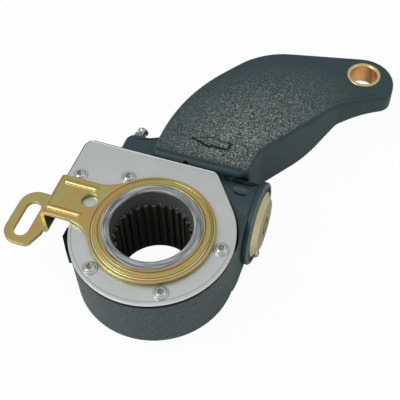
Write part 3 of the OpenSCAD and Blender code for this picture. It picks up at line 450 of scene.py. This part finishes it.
def bright_zinc():
    """Bright zinc on small fasteners: a soft mirror, with painted shade in the drives of the cover's screws."""
    material, tree, place = start_finish("bright_zinc", "#CFD2D1", {"Metallic": 1, "Roughness": 0.27})
    clean, _ = clouded(tree, place, 3, "#C3C7C5", "#DADDDB")
    height = add(tree, "SeparateXYZ", {0: place["Object"]}).outputs["Z"]
    low = add(tree, "MapRange", {0: height, 1: DRIVE_FLOOR, 2: DRIVE_FLOOR + 0.18 * MM, 3: 1, 4: 0}).outputs[0]
    facing = add(tree, "SeparateXYZ", {0: place["Normal"]}).outputs["Z"]
    upward = add(tree, "MapRange", {0: facing, 1: 0.9, 2: 0.98}).outputs[0]
    # The floors of the drives are darkened: painted shade.
    hollow_shade = add(tree, "Math", {0: low, 1: upward}, operation="MULTIPLY").outputs[0]
    colour = layered(tree, clean, [(hollow_shade, "#8F9391")])
    _, rounded = edge_sheen(tree, 0.25 * MM)
    return end_finish(material, {"Base Color": colour, "Normal": rounded})


def plain_finish(name, size_mm, first, second, sockets):
    """Finish of a piece inside the part: one material, clouded a little by oil, heat or dust."""
    material, tree, place = start_finish(name, first, sockets)
    colour, drift = clouded(tree, place, size_mm, first, second)
    bump = add(tree, "Bump", {"Strength": 0.1, "Distance": 0.1 * MM, "Height": drift}).outputs[0]
    return end_finish(material, {"Base Color": colour, "Normal": bump})


# Oiled wire and case-hardened steel are dark metals, moulded rubber is matte, and gasket paper shows its fibres.
finishes = {
    "cast_paint": sand_cast_enamel(),
    "zinc_plate": zinc_plated_sheet(),
    "zinc_screw": bright_zinc(),
    "gasket": plain_finish("gasket_paper", 0.8, "#191B1B", "#2B2E2E", {"Roughness": 0.8, "IOR": 1.45}),
    "bush_bronze": bush_bronze(),
    "plug_chromate": chromated_plug(),
    "seal_rubber": plain_finish("nitrile_rubber", 1.2, "#161617", "#232324", {"Roughness": 0.6, "IOR": 1.5}),
    "spring_steel": plain_finish("spring_wire", 3, "#6B6D70", "#85888A", {"Metallic": 1, "Roughness": 0.35}),
    "machined_steel": turned_steel("broached_hub", HUB_SHADED, BORE_DARKEST),
    "collar_steel": turned_steel("turned_collar", BELOW_COLLAR, BELOW_COLLAR),
    "hardened_steel": plain_finish("hardened_steel", 6, "#4A4C4F", "#63605E", {"Metallic": 1, "Roughness": 0.38}),
    "yellow_chromate": yellow_chromate(),
}
for part in frame["record"]["subparts"]:
    piece = nodes[part["node"]]
    for held in piece.material_slots:
        held.material = finishes[part["material_slot"]]

# Forms that the solids lack, fitted over the housing: outlines from above, counter-clockwise, and heights, in mm.
# The flank joins the round body to the end boss, and the rim stands round the cover plate's outer corner.
# The skin is a run of paint over a folded facet of the arm's face, which would show as a crease.
CAST_FORMS = {
    "cast_flank": ([(39.9, 1), (40.4, 4), (40.6, 7), (40.6, 24), (30.1, 24), (33.6, 18.8), (37.2, 10), (38.9, 1)],
                   (-36.5, -2.4)),
    "cast_rim": ([(-53, 14), (-52.45, 14), (-52.45, 39.6), (-51.4, 42), (-49, 43.05), (-18, 43.05), (-18, 43.7),
                  (-49.2, 43.7), (-51.9, 42.5), (-53, 39.8)], (-8, -0.4)),
    "cast_skin": ([(-12, 60.9), (65.2, 107.9), (82.5, 118.3), (82.1, 119.3), (64.5, 109.3), (-12.3, 61.7)],
                  (2.3, 2.53)),
}
for name, (outline, heights) in CAST_FORMS.items():
    count = len(outline)
    corners = [(x * MM, y * MM, z * MM) for z in heights for x, y in outline]
    after = [(i + 1) % count for i in range(count)]
    walls = [(i, after[i], after[i] + count, i + count) for i in range(count)]
    ends = [tuple(reversed(range(count))), tuple(range(count, 2 * count))]
    mesh = bpy.data.meshes.new(name)
    mesh.from_pydata(corners, [], walls + ends)
    mesh.materials.append(finishes["cast_paint"])
    form = bpy.data.objects.new(name, mesh)
    bpy.context.scene.collection.objects.link(form)
    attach(form, "housing")

# Floor: white sweep paper under the part. Most of its white is its own, and the rest keeps the part's soft shadow.
FLOOR_SIZE = 6
FLOOR_GLOW = 0.95
paper, tree, _ = start_finish("sweep_paper", "#F8F8F7", {"Roughness": 0.9})
rays = add(tree, "LightPath").outputs
share = add(tree, "Math", {0: rays["Is Camera Ray"], 1: FLOOR_GLOW}, operation="MULTIPLY").outputs[0]
lit = tree.nodes["Principled BSDF"].outputs[0]
white = add(tree, "Emission", {"Color": (1, 1, 1, 1), "Strength": 1}).outputs[0]
mixed = add(tree, "MixShader", {0: share, 1: lit, 2: white}).outputs[0]
tree.links.new(mixed, tree.nodes["Material Output"].inputs["Surface"])
bpy.ops.mesh.primitive_plane_add(size=FLOOR_SIZE, location=(0, 0, cad_box[0].z))
floor = bpy.context.object
floor.name = "floor"
floor.data.materials.append(paper)

# Light: a bright, even room that metal sees as white above and greyer low down, and two soft boxes.
ROOM_LIGHT = (0.2475, 0.66)
ROOM_MIRRORED = (0.3, 0.66)
MIRRORED_TOP = 0.9
world = bpy.data.worlds.new("studio")
bpy.context.scene.world = world
world.use_nodes = True
sky = world.node_tree
height = add(sky, "SeparateXYZ", {0: add(sky, "TexCoord").outputs["Generated"]}).outputs["Z"]
light = add(sky, "MapRange", {0: height, 1: 0, 2: 1, 3: ROOM_LIGHT[0], 4: ROOM_LIGHT[1]}).outputs[0]
mirrored = {0: height, 1: 0, 2: MIRRORED_TOP, 3: ROOM_MIRRORED[0], 4: ROOM_MIRRORED[1]}
mirrored = add(sky, "MapRange", mirrored).outputs[0]
rays = add(sky, "LightPath").outputs
level = add(sky, "MapRange", {0: rays["Is Glossy Ray"], 3: light, 4: mirrored}).outputs[0]
level = add(sky, "Math", {0: level, 1: rays["Is Camera Ray"]}, operation="MAXIMUM").outputs[0]
sky.links.new(level, sky.nodes["Background"].inputs["Strength"])
sky.nodes["Background"].inputs["Color"].default_value = (1, 1, 1, 1)


def soft_box(name, at, aim, size, power):
    """Square area lamp that points from one place to another."""
    lamp = bpy.data.lights.new(name, "AREA")
    lamp.size = size
    lamp.energy = power
    box = bpy.data.objects.new(name, lamp)
    bpy.context.scene.collection.objects.link(box)
    box.location = at
    box.rotation_euler = (Vector(aim) - Vector(at)).to_track_quat("-Z", "Y").to_euler()


PART_MIDDLE = (0.01, 0.04, -0.02)
soft_box("key", at=(-0.55, -0.4, 0.8), aim=PART_MIDDLE, size=0.45, power=4.2)
soft_box("fill", at=(0.7, 0.1, 0.6), aim=PART_MIDDLE, size=0.6, power=0.6)

# Camera: place, aim, roll in degrees, and lens and sensor in mm, of the photograph's view.
CAMERA_AT = Vector((0.0989, -0.1895, 0.3037))
CAMERA_AIM = Vector((0.01, 0.0384, -0.0203))
CAMERA_ROLL = -2.41
CAMERA_LENS = 70.5
CAMERA_SENSOR = 36
NEAREST_SEEN = 0.01
camera = bpy.data.objects.new("camera", bpy.data.cameras.new("camera"))
bpy.context.scene.collection.objects.link(camera)
camera.data.lens = CAMERA_LENS
camera.data.sensor_width = CAMERA_SENSOR
camera.data.clip_start = NEAREST_SEEN
camera.location = CAMERA_AT
camera.rotation_mode = "QUATERNION"
level_view = (CAMERA_AIM - CAMERA_AT).to_track_quat("-Z", "Y")
camera.rotation_quaternion = level_view @ Quaternion((0, 0, 1), math.radians(CAMERA_ROLL))
bpy.context.scene.camera = camera
bpy.context.scene.view_settings.view_transform = "Standard"
